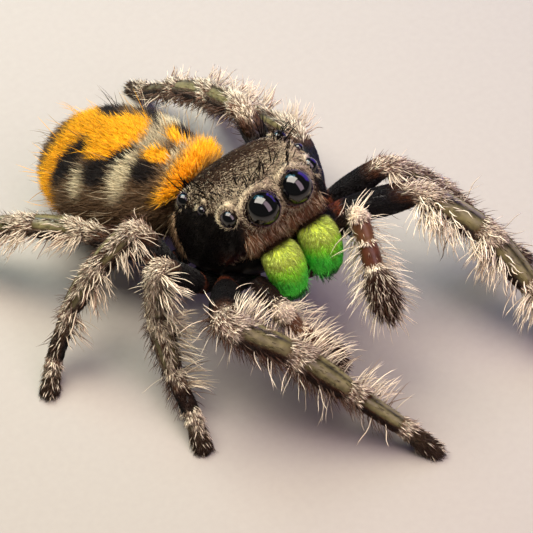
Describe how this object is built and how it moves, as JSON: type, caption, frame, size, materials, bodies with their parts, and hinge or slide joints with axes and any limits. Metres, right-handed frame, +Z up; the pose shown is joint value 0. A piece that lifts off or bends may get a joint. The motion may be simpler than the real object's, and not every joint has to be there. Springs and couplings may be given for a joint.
{
  "type": "bold jumping spider",
  "caption": "Life-size still model of a young bold jumping spider, head raised, one front leg reaching ahead, standing on all its feet.",
  "frame": {"origin": "on the floor under the middle of the footprint, outstretched legs included", "axes": "+Z up from the floor, -Y the way the head faces, +X the spider's left"},
  "size_m": [0.0146, 0.0166, 0.006],
  "materials": {
    "carapace": "near-black brown cuticle under short grey-tan hair",
    "abdomen": "dark brown velvety coat with orange spots and bands",
    "leg": "dark brown legs with grey bands and cream fringes",
    "chelicera": "iridescent green, yellower above and bluer below",
    "eye": "polished black lens with a blue-violet sheen",
    "underside": "dark brown cuticle"
  },
  "bodies": {
    "root": {"carapace": "carapace", "sternum": "underside", "abdomen": "abdomen", "waist": "underside", "spinnerets": "underside", "chelicera_left": "chelicera", "chelicera_right": "chelicera", "eye_front_left": "eye", "eye_front_right": "eye", "eye_side_left": "eye", "eye_side_right": "eye", "eye_small_left": "eye", "eye_small_right": "eye", "eye_rear_left": "eye", "eye_rear_right": "eye", "leg_left_1_femur": "leg", "leg_left_1_tibia": "leg", "leg_left_1_foot": "leg", "leg_left_2_femur": "leg", "leg_left_2_tibia": "leg", "leg_left_2_foot": "leg", "leg_left_3_femur": "leg", "leg_left_3_tibia": "leg", "leg_left_3_foot": "leg", "leg_left_4_femur": "leg", "leg_left_4_tibia": "leg", "leg_left_4_foot": "leg", "leg_right_1_femur": "leg", "leg_right_1_tibia": "leg", "leg_right_1_foot": "leg", "leg_right_2_femur": "leg", "leg_right_2_tibia": "leg", "leg_right_2_foot": "leg", "leg_right_3_femur": "leg", "leg_right_3_tibia": "leg", "leg_right_3_foot": "leg", "leg_right_4_femur": "leg", "leg_right_4_tibia": "leg", "leg_right_4_foot": "leg", "palp_left_femur": "leg", "palp_left_tip": "leg", "palp_right_femur": "leg", "palp_right_tip": "leg"}
  },
  "joints": []
}
